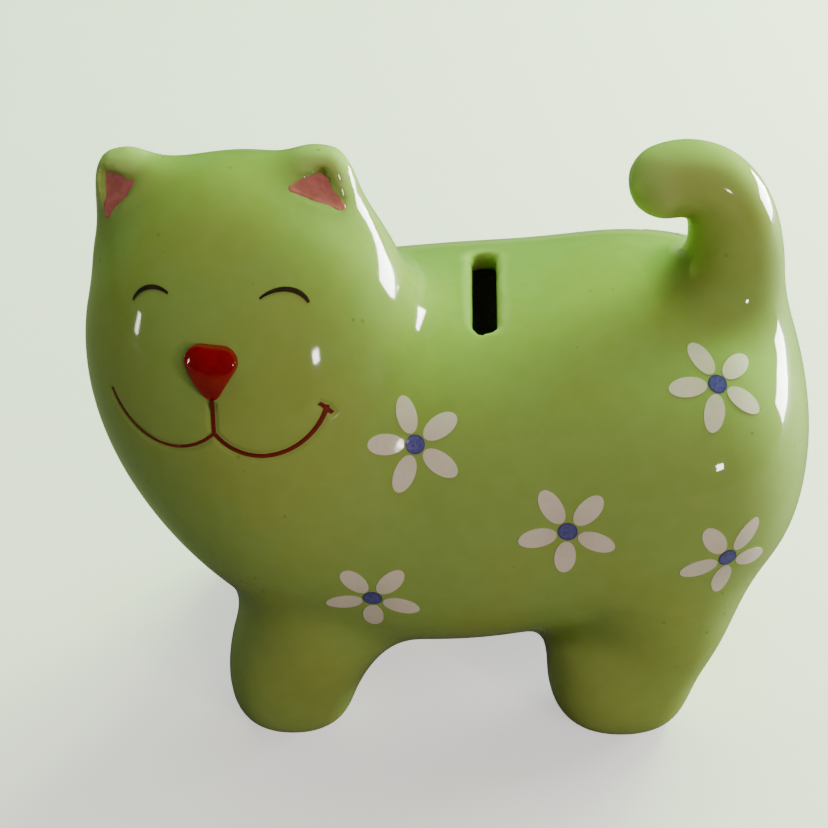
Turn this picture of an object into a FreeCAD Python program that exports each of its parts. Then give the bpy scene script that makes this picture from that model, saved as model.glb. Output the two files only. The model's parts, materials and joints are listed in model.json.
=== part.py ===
import FreeCAD, Part
import math
import os
from FreeCAD import Vector

# A cat-shaped coin bank: one hollow slip-cast ceramic shell with a coin slot in its back, a soft
# bung under its belly, and enamel decoration fired onto the glaze.
# Working frame, mm: X runs along the body (head at -X, tail at +X), the face looks towards -Y,
# Z is up and the feet stand on Z = 0. Y = 0 is the body's plane of symmetry.

# ------------------------------------------------------------------ driving dimensions, mm
# Centre of the footprint in the working frame. Every piece is moved by minus this at the end.
FOOTPRINT_CENTRE = Vector(4.75, -1.775, 0.0)

# Torso: two blunt eggs, (centre), (half sizes), blended over TORSO_BLEND.
CHEST = ((-2.5, 0.0, 53.0), (40.0, 43.5, 37.5))
RUMP = ((48.0, 0.0, 59.0), (29.0, 42.0, 33.5))
TORSO_POWER = 2.25
TORSO_BLEND = 34.0

# Head: skull and muzzle eggs, turned and leaning towards the side the face looks to.
SKULL = ((-35.0, -13.0, 86.0), (32.5, 29.0, 40.5))
MUZZLE = ((-30.0, -17.0, 68.0), (22.5, 28.0, 37.5))
HEAD_BLEND = 18.0
NECK_BLEND = 12.0

# Ears: (root, tip, root radius, tip radius) of the upright part, then of the ridge running inwards.
EAR_LEFT = (
    ((-54.0, -8.0, 108.0), (-57.5, -8.0, 120.5), 9.5, 5.8),
    ((-56.0, -8.0, 119.5), (-42.0, -8.0, 112.5), 6.0, 8.0),
)
EAR_RIGHT = (
    ((-21.0, -11.0, 106.0), (-19.5, -11.0, 123.5), 10.0, 5.0),
    ((-20.5, -11.0, 121.5), (-32.0, -11.0, 112.0), 6.0, 9.0),
)
EAR_FLATNESS = 1.25
EAR_RIDGE_BLEND = 5.0
EAR_BLEND = 7.0

# Feet and thighs on the -Y side, mirrored to +Y: (centre), (half sizes).
FRONT_FOOT = ((-30.0, -25.0, 12.0), (13.5, 13.0, 15.0))
FRONT_THIGH = ((-24.0, -22.0, 26.0), (15.5, 17.0, 15.0))
REAR_FOOT = ((39.0, -25.0, 14.0), (15.5, 14.5, 17.0))
REAR_THIGH = ((48.5, -22.0, 33.0), (14.0, 19.0, 18.0))
FOOT_POWER = 2.3
FRONT_LEG_BLEND = 8.0
REAR_LEG_BLEND = 10.0
LEG_TO_BODY_BLEND = 8.0
SOLE_ROUNDING = 5.0
SOLE_SINK = 1.0

# Tail: a Bezier curve from inside the rump to the curled tip, with a radius that falls towards it.
TAIL_CURVE = ((55.0, 0.0, 66.0), (67.5, 0.0, 111.0), (54.0, -1.0, 119.0), (45.5, -2.0, 115.5))
TAIL_TIP_RADIUS = 7.4
TAIL_ROOT_GAIN = 5.6
TAIL_TAPER_END = 0.8
TAIL_TAPER_POWER = 1.7
TAIL_BLEND = 9.0
TAIL_STEPS = 24
TAIL_SEARCH_ROUNDS = 14

# Where the ears, the legs and the tail can have an effect; elsewhere they are left out.
EARS_ABOVE = 95.0
LEGS_BELOW = 70.0
TAIL_BEYOND = 20.0
TAIL_ABOVE = 55.0

# Casting.
WALL = 4.0
SOLE_THICKNESS = 6.0
CAVITY_ROUNDING = 4.0

# Coin slot through the back, long side across the body.
SLOT_CENTRE = (10.7, -0.6)
SLOT_LENGTH = 29.5
SLOT_WIDTH = 4.6
SLOT_BOTTOM = 75.0
SLOT_TOP = 105.0

# Bung hole under the belly, in a flat boss with a recessed seat.
BUNG_X = 4.0
BOSS_RADIUS = 20.5
BOSS_FACE = 14.6
BOSS_EDGE_ROUNDING = 1.5
BOSS_BLEND = 5.0
BOSS_TOP = 40.0
SEAT_RADIUS = 18.0
SEAT_HEIGHT = 16.6
HOLE_RADIUS = 14.5
HOLE_TOP = 34.0

# Stopper, a soft moulding: flange, hollow plug with a lead-in taper, pull tab.
FLANGE_RADIUS = 17.5
FLANGE_THICKNESS = 2.0
PLUG_CLEARANCE = 0.05
PLUG_HEIGHT = 11.0
PLUG_LEAD_IN = 1.2
PLUG_LEAD_IN_HEIGHT = 4.0
PLUG_WALL = 1.8
TAB_WIDTH = 12.0
TAB_THICKNESS = 1.8
TAB_DROP = 4.0
TAB_CORNER = 3.0
TAB_OVERLAP = 0.5

# Enamel and transfers: how far they stand proud of the glaze, and how deep they are fused in.
LAYER_PROUD = 0.12
LAYER_SUNK = 0.30

# Face frame: origin on the nose, the direction the face looks in.
NOSE_POINT = (-39.5, -41.7, 99.7)
FACE_DIRECTION = Vector(-0.24, -0.95, 0.20)
MOUTH_WINDOW = (-24.5, 22.5, -19.5, -3.0)
EYE_LEFT_WINDOW = (-19.0, -7.5, 7.0, 15.0)
EYE_RIGHT_WINDOW = (5.5, 18.0, 9.5, 17.0)

# Face details, (across, up) in the face frame.
NOSE_OUTLINE = ((-7.2, 4.4), (7.0, 4.4), (0.4, -7.6))
NOSE_CORNERS = (3.0, 3.0, 1.1)
NOSE_HEIGHT = 2.4
NOSE_BALL_RADIUS = 9.0
NOSE_BALL_UP = -0.3
NOSE_DEPTH = 2.5
MOUTH_CENTRE = (0.8, -12.6)
MOUTH_STEM_TOP = (0.5, -6.9)
MOUTH_LEFT_ARC = ((0.8, -12.6), (-8.3, -17.2), (-22.1, -9.9))
MOUTH_RIGHT_ARC = ((0.8, -12.6), (10.6, -16.4), (20.2, -7.5))
MOUTH_CORNER_TICK = ((19.0, -6.5), (21.2, -8.9))
MOUTH_LEFT_WIDTH = 0.7
MOUTH_RIGHT_WIDTH = 0.9
MOUTH_GROOVE_DEPTH = 0.6
MOUTH_FILL_LEVEL = -0.25
MOUTH_FILL_SUNK = 0.1
MOUTH_CUT_ABOVE = 1.0
EYE_LEFT_ARC = ((-17.0, 9.3), (-13.3, 12.5), (-9.5, 12.2))
EYE_RIGHT_ARC = ((7.7, 12.9), (11.9, 14.3), (15.8, 11.8))
EYE_LINE_SWELL = 0.45
EYE_LINE_WIDTH = 0.35

# Ear linings: point on the ear, direction it looks in, outline (across, up), corner radius.
EAR_LINING_LEFT = (
    (-58.6, -12.8, 121.0),
    Vector(-0.41, -0.79, 0.46),
    ((-4.4, 3.6), (5.0, 2.8), (-1.2, -7.0)),
)
EAR_LINING_RIGHT = (
    (-19.5, -17.5, 123.1),
    Vector(0.40, -0.65, 0.65),
    ((2.2, 4.6), (-7.1, 1.9), (4.3, -6.0)),
)
EAR_LINING_CORNERS = (1.0, 1.0, 1.0)
EAR_POCKET_DEPTH = 1.0
EAR_POCKET_REACH = 6.0
EAR_LINING_THICKNESS = 0.5

# Flower transfers: (X, Z, turn in degrees) on the -Y flank and on the +Y flank.
FLOWERS_NEAR = (
    (-2.7, 78.5, 6.0),
    (54.9, 85.6, 6.0),
    (26.3, 62.4, 32.0),
    (-11.6, 45.6, 34.0),
    (57.5, 53.7, 32.0),
)
FLOWERS_FAR = (
    (-20.0, 72.0, 20.0),
    (8.0, 76.0, -14.0),
    (54.0, 84.0, 10.0),
    (24.0, 52.0, 40.0),
    (58.0, 56.0, 0.0),
)
PETAL_COUNT = 5
PETAL_ORBIT = 5.95
PETAL_HALF_LENGTH = 3.75
PETAL_HALF_WIDTH = 2.05
FLOWER_CENTRE_RADIUS = 1.9
FLOWER_WINDOW = (-11.0, 11.0, -11.0, 11.0)
CONFORMING_PITCH = 2.8

# Skin resolution: spacing of the net that the outer and inner skins are built on.
OUTER_NET = 6.0
INNER_NET = 7.5
OUTER_BOX = ((-78.0, -57.0, -7.0), (90.0, 57.0, 137.0))
INNER_BOX = ((-72.0, -54.0, 0.0), (84.0, 54.0, 130.0))
RELAX_ROUNDS = 6
RELAX_KEEP = 0.4
SETTLE_ROUNDS = 3
NORMAL_STEP = 0.2

# Finding the surface along a line: the line's length, the first step and the halvings after it.
REACH = 60.0
REACH_STEP = 0.5
HALVINGS = 30

# Blocks that cut away everything below the ground and behind the nose.
GROUND_HALF = 150.0
GROUND_DEPTH = 20.0
NOSE_BLOCK = 30.0


# ------------------------------------------------------------------ blending and simple forms
# A form is a function of (x, y, z) that is negative inside, positive outside and about the
# distance to the surface near it.
def soft_union(a, b, blend):
    overlap = max(blend - abs(a - b), 0.0) / blend
    return min(a, b) - overlap * overlap * blend * 0.25


def soft_intersection(a, b, blend):
    return -soft_union(-a, -b, blend)


def egg(x, y, z, shape):
    """An ellipsoid."""
    centre, half = shape
    u = x - centre[0]
    v = y - centre[1]
    w = z - centre[2]
    scaled = math.sqrt((u / half[0]) ** 2 + (v / half[1]) ** 2 + (w / half[2]) ** 2)
    slope = math.sqrt((u / half[0] ** 2) ** 2 + (v / half[1] ** 2) ** 2 + (w / half[2] ** 2) ** 2)
    return scaled * (scaled - 1.0) / max(slope, 1e-9)


def blunt_egg(x, y, z, shape, power):
    """An ellipsoid made squarer by a power above 2."""
    centre, half = shape
    u = abs(x - centre[0]) + 1e-6
    v = abs(y - centre[1]) + 1e-6
    w = abs(z - centre[2]) + 1e-6
    total = (u / half[0]) ** power + (v / half[1]) ** power + (w / half[2]) ** power
    scaled = total ** (1.0 / power)
    gu = u ** (power - 1.0) / half[0] ** power
    gv = v ** (power - 1.0) / half[1] ** power
    gw = w ** (power - 1.0) / half[2] ** power
    slope = math.sqrt(gu * gu + gv * gv + gw * gw) * scaled ** (1.0 - power)
    return (scaled - 1.0) / max(slope, 1e-9)


def taper(x, y, z, shape):
    """A rounded stick from one point to another whose radius changes on the way."""
    root, tip, root_radius, tip_radius = shape
    d = (tip[0] - root[0], tip[1] - root[1], tip[2] - root[2])
    p = (x - root[0], y - root[1], z - root[2])
    t = (p[0] * d[0] + p[1] * d[1] + p[2] * d[2]) / (d[0] * d[0] + d[1] * d[1] + d[2] * d[2])
    t = min(max(t, 0.0), 1.0)
    away = math.sqrt((p[0] - t * d[0]) ** 2 + (p[1] - t * d[1]) ** 2 + (p[2] - t * d[2]) ** 2)
    return away - root_radius - (tip_radius - root_radius) * t


# ------------------------------------------------------------------ the cat's form
def ear(x, y, z, parts):
    depth = parts[0][0][1]
    flat_y = (y - depth) * EAR_FLATNESS + depth
    upright = taper(x, flat_y, z, parts[0])
    ridge = taper(x, flat_y, z, parts[1])
    return soft_union(upright, ridge, EAR_RIDGE_BLEND)


def tail_point(t):
    s = 1.0 - t
    weights = (s * s * s, 3.0 * s * s * t, 3.0 * s * t * t, t * t * t)
    return [sum(w * p[axis] for w, p in zip(weights, TAIL_CURVE)) for axis in range(3)]


TAIL_SAMPLES = [(i / TAIL_STEPS, tail_point(i / TAIL_STEPS)) for i in range(TAIL_STEPS + 1)]


def tail(x, y, z):
    def squared(point):
        return (x - point[0]) ** 2 + (y - point[1]) ** 2 + (z - point[2]) ** 2

    near = min(range(TAIL_STEPS + 1), key=lambda i: squared(TAIL_SAMPLES[i][1]))
    low = max(TAIL_SAMPLES[near][0] - 1.0 / TAIL_STEPS, 0.0)
    high = min(TAIL_SAMPLES[near][0] + 1.0 / TAIL_STEPS, 1.0)
    for _ in range(TAIL_SEARCH_ROUNDS):
        third = (high - low) / 3.0
        if squared(tail_point(low + third)) < squared(tail_point(high - third)):
            high -= third
        else:
            low += third
    t = (low + high) / 2.0
    taper_left = 1.0 - min(t / TAIL_TAPER_END, 1.0)
    radius = TAIL_TIP_RADIUS + TAIL_ROOT_GAIN * taper_left ** TAIL_TAPER_POWER
    return math.sqrt(squared(tail_point(t))) - radius


def torso_and_head(x, y, z):
    torso = soft_union(
        blunt_egg(x, y, z, CHEST, TORSO_POWER),
        blunt_egg(x, y, z, RUMP, TORSO_POWER),
        TORSO_BLEND,
    )
    head = soft_union(egg(x, y, z, SKULL), egg(x, y, z, MUZZLE), HEAD_BLEND)
    return torso, head


def legs(x, y, z):
    side = -abs(y)
    front = soft_union(
        blunt_egg(x, side, z, FRONT_FOOT, FOOT_POWER), egg(x, side, z, FRONT_THIGH), FRONT_LEG_BLEND
    )
    rear = soft_union(
        blunt_egg(x, side, z, REAR_FOOT, FOOT_POWER), egg(x, side, z, REAR_THIGH), REAR_LEG_BLEND
    )
    return min(front, rear)


def bung_boss(x, y, z, top):
    """An upright disc from the boss face up to a level, with rounded edges."""
    beside = math.hypot(x - BUNG_X, y) - (BOSS_RADIUS - BOSS_EDGE_ROUNDING)
    below = (BOSS_FACE + BOSS_EDGE_ROUNDING) - z
    above = z - (top - BOSS_EDGE_ROUNDING)
    beyond = max(below, above)
    outside = math.hypot(max(beside, 0.0), max(beyond, 0.0))
    return outside + min(max(beside, beyond), 0.0) - BOSS_EDGE_ROUNDING


def outer_form(x, y, z):
    torso, head = torso_and_head(x, y, z)
    if z > EARS_ABOVE:
        ears = min(ear(x, y, z, EAR_LEFT), ear(x, y, z, EAR_RIGHT))
        head = soft_union(head, ears, EAR_BLEND)
    value = soft_union(torso, head, NECK_BLEND)
    if z < LEGS_BELOW:
        value = soft_union(value, legs(x, y, z), LEG_TO_BODY_BLEND)
        value = soft_union(value, bung_boss(x, y, z, BOSS_TOP), BOSS_BLEND)
    if x > TAIL_BEYOND and z > TAIL_ABOVE:
        value = soft_union(value, tail(x, y, z), TAIL_BLEND)
    return soft_intersection(value, -SOLE_SINK - z, SOLE_ROUNDING)


def cavity_form(x, y, z):
    torso, head = torso_and_head(x, y, z)
    value = soft_union(torso, head, NECK_BLEND)
    value = soft_union(value, legs(x, y, z), LEG_TO_BODY_BLEND)
    over_bung_seat = WALL - bung_boss(x, y, z, SEAT_HEIGHT)
    value = soft_intersection(value + WALL, over_bung_seat, CAVITY_ROUNDING)
    return soft_intersection(value, SOLE_THICKNESS - z, CAVITY_ROUNDING)


def normal_at(form, p):
    e = NORMAL_STEP
    nx = form(p.x + e, p.y, p.z) - form(p.x - e, p.y, p.z)
    ny = form(p.x, p.y + e, p.z) - form(p.x, p.y - e, p.z)
    nz = form(p.x, p.y, p.z + e) - form(p.x, p.y, p.z - e)
    n = Vector(nx, ny, nz)
    return n.normalize()


def settle(form, p, rounds):
    """Move a point along the form's slope onto its surface."""
    for _ in range(rounds):
        e = NORMAL_STEP
        gx = (form(p.x + e, p.y, p.z) - form(p.x - e, p.y, p.z)) / (2.0 * e)
        gy = (form(p.x, p.y + e, p.z) - form(p.x, p.y - e, p.z)) / (2.0 * e)
        gz = (form(p.x, p.y, p.z + e) - form(p.x, p.y, p.z - e)) / (2.0 * e)
        steep = max(gx * gx + gy * gy + gz * gz, 0.05)
        p = p - Vector(gx, gy, gz) * (form(p.x, p.y, p.z) / steep)
    return p


# ------------------------------------------------------------------ from a form to a smooth solid
CORNERS = [(i, j, k) for i in (0, 1) for j in (0, 1) for k in (0, 1)]


def differ_in_one(a, b):
    return sum(abs(p - q) for p, q in zip(a, b)) == 1


CELL_EDGES = [(a, b) for a in range(8) for b in range(a) if differ_in_one(CORNERS[a], CORNERS[b])]


def net_of(form, low, high, pitch):
    """Quads around the surface of a form: one vertex in each cell of a grid that the surface crosses."""
    counts = [int(math.ceil((high[axis] - low[axis]) / pitch)) + 1 for axis in range(3)]
    value = {}
    for i in range(counts[0]):
        for j in range(counts[1]):
            for k in range(counts[2]):
                value[i, j, k] = form(low[0] + i * pitch, low[1] + j * pitch, low[2] + k * pitch)
    points = []
    cell_vertex = {}
    for i in range(counts[0] - 1):
        for j in range(counts[1] - 1):
            for k in range(counts[2] - 1):
                corner_keys = [(i + a, j + b, k + c) for a, b, c in CORNERS]
                inside = [value[key] < 0.0 for key in corner_keys]
                if all(inside) or not any(inside):
                    continue
                add_cell_vertices(corner_keys, inside, value, low, pitch, points, cell_vertex)
    quads = []
    for key in value:
        for axis in range(3):
            other = tuple(key[n] + (1 if n == axis else 0) for n in range(3))
            if other not in value or (value[key] < 0.0) == (value[other] < 0.0):
                continue
            b = (axis + 1) % 3
            c = (axis + 2) % 3
            ring = []
            for step_b, step_c in ((0, 0), (-1, 0), (-1, -1), (0, -1)):
                cell = list(key)
                cell[b] += step_b
                cell[c] += step_c
                solid_corner = key if value[key] < 0.0 else other
                ring.append(cell_vertex[tuple(cell), solid_corner])
            if value[key] >= 0.0:
                ring.reverse()
            quads.append(ring)
    return points, quads


def add_cell_vertices(corner_keys, inside, value, low, pitch, points, cell_vertex):
    """One vertex for each connected group of inside corners of one cell."""
    group = list(range(8))
    for a, b in CELL_EDGES:
        if inside[a] and inside[b]:
            old = group[a]
            new = group[b]
            group = [new if g == old else g for g in group]
    cell = corner_keys[0]
    for g in sorted(set(group[n] for n in range(8) if inside[n])):
        crossings = []
        for a, b in CELL_EDGES:
            if inside[a] == inside[b]:
                continue
            solid = a if inside[a] else b
            if group[solid] != g:
                continue
            va = value[corner_keys[a]]
            vb = value[corner_keys[b]]
            t = va / (va - vb)
            spot = [corner_keys[a][n] + t * (corner_keys[b][n] - corner_keys[a][n]) for n in range(3)]
            crossings.append(spot)
        if not crossings:
            continue
        mean = [sum(c[n] for c in crossings) / len(crossings) for n in range(3)]
        points.append(Vector(*[low[n] + mean[n] * pitch for n in range(3)]))
        for n in range(8):
            if inside[n] and group[n] == g:
                cell_vertex[cell, corner_keys[n]] = len(points) - 1


def relax(form, points, quads):
    """Even the net out while it stays on the form."""
    neighbours = [set() for _ in points]
    for quad in quads:
        for n in range(4):
            neighbours[quad[n]].add(quad[n - 1])
            neighbours[quad[n - 1]].add(quad[n])
    for _ in range(RELAX_ROUNDS):
        moved = []
        for point, near in zip(points, neighbours):
            mean = Vector(0.0, 0.0, 0.0)
            for n in near:
                mean = mean + points[n]
            even = mean * (1.0 / len(near))
            moved.append(settle(form, point * RELAX_KEEP + even * (1.0 - RELAX_KEEP), 1))
        points = moved
    return [settle(form, p, SETTLE_ROUNDS) for p in points]


def edge_handle(p, q, normal):
    """The curve handle a third of the way from p to q, in the surface's tangent plane at p."""
    third = (q - p) * (1.0 / 3.0)
    return p + third - normal * third.dot(normal)


def patch(corners, normals):
    """A bicubic patch whose edges leave each corner along the surface."""
    c00, c30, c33, c03 = corners
    n00, n30, n33, n03 = normals
    rows = [[None] * 4 for _ in range(4)]
    rows[0][0] = c00
    rows[3][0] = c30
    rows[3][3] = c33
    rows[0][3] = c03
    rows[1][0] = edge_handle(c00, c30, n00)
    rows[2][0] = edge_handle(c30, c00, n30)
    rows[3][1] = edge_handle(c30, c33, n30)
    rows[3][2] = edge_handle(c33, c30, n33)
    rows[2][3] = edge_handle(c33, c03, n33)
    rows[1][3] = edge_handle(c03, c33, n03)
    rows[0][1] = edge_handle(c00, c03, n00)
    rows[0][2] = edge_handle(c03, c00, n03)
    for i in (1, 2):
        for j in (1, 2):
            u = i / 3.0
            v = j / 3.0
            across = rows[0][j] * (1 - u) + rows[3][j] * u
            along = rows[i][0] * (1 - v) + rows[i][3] * v
            flat = (c00 * (1 - u) + c30 * u) * (1 - v) + (c03 * (1 - u) + c33 * u) * v
            rows[i][j] = across + along - flat
    surface = Part.BezierSurface()
    surface.increase(3, 3)
    for i in range(4):
        for j in range(4):
            surface.setPole(i + 1, j + 1, rows[i][j])
    return surface.toShape()


def skin_solid(form, box, pitch):
    points, quads = net_of(form, box[0], box[1], pitch)
    points = relax(form, points, quads)
    normals = [normal_at(form, p) for p in points]
    faces = [patch([points[n] for n in quad], [normals[n] for n in quad]) for quad in quads]
    sewn = Part.makeCompound(faces)
    sewn.sewShape()
    solid = Part.Solid(sewn.Shells[0])
    if solid.Volume < 0.0:
        solid.reverse()
    print("skin", len(faces), "faces", len(sewn.Shells), "shells, closed", sewn.Shells[0].isClosed())
    return solid


# ------------------------------------------------------------------ local frames on the surface
class Place:
    """A frame on the surface: a point, the direction looked in, across and up."""

    def __init__(self, point, direction):
        self.point = point
        self.out = Vector(direction).normalize()
        self.across = Vector(0.0, 0.0, 1.0).cross(self.out).normalize()
        self.up = self.out.cross(self.across)

    def at(self, across, up, out=0.0):
        return self.point + self.across * across + self.up * up + self.out * out

    def on_surface(self, across, up):
        """The point of the outer form straight behind (across, up)."""
        depth = REACH / 2.0
        while depth > -REACH / 2.0:
            spot = self.at(across, up, depth)
            if outer_form(spot.x, spot.y, spot.z) < 0.0:
                break
            depth -= REACH_STEP
        inside = depth
        outside = depth + REACH_STEP
        for _ in range(HALVINGS):
            depth = (inside + outside) / 2.0
            spot = self.at(across, up, depth)
            if outer_form(spot.x, spot.y, spot.z) < 0.0:
                inside = depth
            else:
                outside = depth
        return self.at(across, up, depth)

    def conforming_face(self, window, lift):
        """A smooth face that follows the form over (left, right, bottom, top), lifted off it."""
        left, right, bottom, top = window
        columns = max(int((right - left) / CONFORMING_PITCH), 4)
        rows = max(int((top - bottom) / CONFORMING_PITCH), 4)
        grid = []
        for i in range(columns + 1):
            row = []
            for j in range(rows + 1):
                across = left + (right - left) * i / columns
                up = bottom + (top - bottom) * j / rows
                spot = self.on_surface(across, up)
                row.append(spot + normal_at(outer_form, spot) * lift)
            grid.append(row)
        surface = Part.BSplineSurface()
        surface.interpolate(grid)
        return surface.toShape()

    def prism(self, face):
        """A planar face moved well behind the surface and drawn out through it."""
        moved = face.copy()
        moved.translate(self.out * (-REACH / 2.0))
        return moved.extrude(self.out * REACH)


def surface_point(x, z, side):
    """The point of the flank at X, Z on the side (-1 or +1)."""
    inside = 0.0
    outside = side * REACH
    for _ in range(HALVINGS):
        middle = (inside + outside) / 2.0
        if outer_form(x, middle, z) < 0.0:
            inside = middle
        else:
            outside = middle
    return Vector(x, inside, z)


# ------------------------------------------------------------------ flat outlines
def rounded_outline(place, corners, radii):
    """A closed outline with straight sides and arcs at its corners."""
    edges = []
    ends = []
    for n in range(len(corners)):
        before = Vector(*corners[n - 1], 0.0)
        here = Vector(*corners[n], 0.0)
        after = Vector(*corners[(n + 1) % len(corners)], 0.0)
        to_before = (before - here).normalize()
        to_after = (after - here).normalize()
        half_angle = to_before.getAngle(to_after) / 2.0
        radius = radii[n]
        reach = radius / math.tan(half_angle)
        bisector = (to_before + to_after).normalize()
        middle = here + bisector * (radius / math.sin(half_angle) - radius)
        ends.append((here + to_before * reach, middle, here + to_after * reach))
    for n in range(len(ends)):
        start, middle, stop = [place.at(p.x, p.y) for p in ends[n]]
        following = place.at(ends[(n + 1) % len(ends)][0].x, ends[(n + 1) % len(ends)][0].y)
        edges.append(Part.Arc(start, middle, stop).toShape())
        edges.append(Part.LineSegment(stop, following).toShape())
    return Part.Face(Part.Wire(edges))


def arc_band(place, arc, half_width):
    """A band of even width along the arc through three points, with round ends."""
    start, middle, stop = [Vector(*p, 0.0) for p in arc]
    centre = Part.Arc(start, middle, stop).toShape().Curve.Center
    outward = [(p - centre).normalize() for p in (start, middle, stop)]
    outer = [p + o * half_width for p, o in zip((start, middle, stop), outward)]
    inner = [p - o * half_width for p, o in zip((start, middle, stop), outward)]
    start_cap = start + (start - middle).normalize() * half_width
    stop_cap = stop + (stop - middle).normalize() * half_width
    edges = []
    for a, b, c in (
        (outer[0], outer[1], outer[2]),
        (outer[2], stop_cap, inner[2]),
        (inner[2], inner[1], inner[0]),
        (inner[0], start_cap, outer[0]),
    ):
        edges.append(Part.Arc(place.at(a.x, a.y), place.at(b.x, b.y), place.at(c.x, c.y)).toShape())
    return Part.Face(Part.Wire(edges))


def straight_band(place, start, stop, half_width):
    along = Vector(stop[0] - start[0], stop[1] - start[1], 0.0).normalize()
    aside = Vector(-along.y, along.x, 0.0) * half_width
    a = Vector(*start, 0.0)
    b = Vector(*stop, 0.0)
    corners = (a + aside, b + aside, b - aside, a - aside)
    placed = [place.at(p.x, p.y) for p in corners]
    return Part.Face(Part.makePolygon(placed + placed[:1]))


def brushed_arc(place, arc, width, swell):
    """A brush stroke: two arcs that run closer together towards rounded ends."""
    start, middle, stop = [Vector(*p, 0.0) for p in arc]
    centre = Part.Arc(start, middle, stop).toShape().Curve.Center
    outward = [(p - centre).normalize() for p in (start, middle, stop)]
    halves = (width / 2.0, (width + swell) / 2.0, width / 2.0)
    outer = [p + o * h for p, o, h in zip((start, middle, stop), outward, halves)]
    inner = [p - o * h for p, o, h in zip((start, middle, stop), outward, halves)]
    outer = [place.at(p.x, p.y) for p in outer]
    inner = [place.at(p.x, p.y) for p in inner]
    edges = [
        Part.Arc(outer[0], outer[1], outer[2]).toShape(),
        Part.LineSegment(outer[2], inner[2]).toShape(),
        Part.Arc(inner[2], inner[1], inner[0]).toShape(),
        Part.LineSegment(inner[0], outer[0]).toShape(),
    ]
    return Part.Face(Part.Wire(edges))


# ------------------------------------------------------------------ decoration
FACE = Place(Vector(*NOSE_POINT), FACE_DIRECTION)


def layer(place, skin, outline, thickness):
    """The part of a conforming face inside an outline, thickened inwards."""
    trimmed = skin.common(place.prism(outline))
    return trimmed.extrude(place.out * -thickness)


def one_solid(shape):
    solids = shape.Solids
    joined = solids[0]
    for solid in solids[1:]:
        joined = joined.fuse(solid)
    return joined


def nose():
    body = FACE.prism(rounded_outline(FACE, NOSE_OUTLINE, NOSE_CORNERS))
    ball = Part.makeSphere(NOSE_BALL_RADIUS, FACE.at(0.0, NOSE_BALL_UP, NOSE_HEIGHT - NOSE_BALL_RADIUS))
    corner = Vector(-NOSE_BLOCK / 2.0, -NOSE_BLOCK / 2.0, 0.0)
    front_half = Part.makeBox(NOSE_BLOCK, NOSE_BLOCK, NOSE_BLOCK, corner)
    front_half.Placement = FreeCAD.Placement(
        FACE.at(0.0, 0.0, -NOSE_DEPTH), FreeCAD.Rotation(FACE.across, FACE.up, FACE.out, "XYZ")
    ).multiply(front_half.Placement)
    return body.common(ball).common(front_half)


def mouth_outlines():
    thin = MOUTH_LEFT_WIDTH / 2.0
    broad = MOUTH_RIGHT_WIDTH / 2.0
    return [
        arc_band(FACE, MOUTH_LEFT_ARC, thin),
        arc_band(FACE, MOUTH_RIGHT_ARC, broad),
        straight_band(FACE, MOUTH_STEM_TOP, MOUTH_CENTRE, broad),
        straight_band(FACE, MOUTH_CORNER_TICK[0], MOUTH_CORNER_TICK[1], thin),
    ]


def mouth_band(level, depth):
    """The mouth's line between a level of the form and a depth below that level."""
    skin = FACE.conforming_face(MOUTH_WINDOW, level)
    pieces = [layer(FACE, skin, outline, depth) for outline in mouth_outlines()]
    joined = pieces[0]
    for piece in pieces[1:]:
        joined = joined.fuse(piece)
    return one_solid(joined)


def eye_line(arc, window):
    skin = FACE.conforming_face(window, LAYER_PROUD)
    outline = brushed_arc(FACE, arc, EYE_LINE_WIDTH, EYE_LINE_SWELL)
    return one_solid(layer(FACE, skin, outline, LAYER_PROUD + LAYER_SUNK))


def ear_pocket_and_lining(spec):
    point, direction, outline = spec
    place = Place(Vector(*point), direction)
    shape = rounded_outline(place, outline, EAR_LINING_CORNERS)
    shape.translate(place.out * -EAR_POCKET_DEPTH)
    pocket = shape.extrude(place.out * EAR_POCKET_REACH)
    shape.translate(place.out * -LAYER_SUNK)
    lining = shape.extrude(place.out * EAR_LINING_THICKNESS)
    return pocket, lining


def flower(x, z, turn, side):
    """The petals of one flower as a group of solids, and its round centre."""
    point = surface_point(x, z, side)
    place = Place(point, normal_at(outer_form, point))
    skin = place.conforming_face(FLOWER_WINDOW, LAYER_PROUD)
    thickness = LAYER_PROUD + LAYER_SUNK
    petals = []
    for n in range(PETAL_COUNT):
        angle = math.radians(90.0 + turn + n * 360.0 / PETAL_COUNT)
        centre = place.at(PETAL_ORBIT * math.cos(angle), PETAL_ORBIT * math.sin(angle))
        lengthwise = place.across * math.cos(angle) + place.up * math.sin(angle)
        tip = centre + lengthwise * PETAL_HALF_LENGTH
        side_point = centre + place.out.cross(lengthwise) * PETAL_HALF_WIDTH
        outline = Part.Face(Part.Wire(Part.Ellipse(tip, side_point, centre).toShape()))
        petals.append(one_solid(layer(place, skin, outline, thickness)))
    disc = Part.Face(Part.Wire(Part.Circle(place.point, place.out, FLOWER_CENTRE_RADIUS).toShape()))
    middle = one_solid(layer(place, skin, disc, thickness))
    return Part.makeCompound(petals), middle


# ------------------------------------------------------------------ shell and stopper
def coin_slot():
    radius = SLOT_WIDTH / 2.0
    straight = SLOT_LENGTH - SLOT_WIDTH
    height = SLOT_TOP - SLOT_BOTTOM
    x = SLOT_CENTRE[0]
    y = SLOT_CENTRE[1]
    corner = Vector(x - radius, y - straight / 2.0, SLOT_BOTTOM)
    cutter = Part.makeBox(SLOT_WIDTH, straight, height, corner)
    for end in (-0.5, 0.5):
        cutter = cutter.fuse(Part.makeCylinder(radius, height, Vector(x, y + end * straight, SLOT_BOTTOM)))
    return cutter.removeSplitter()


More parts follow.
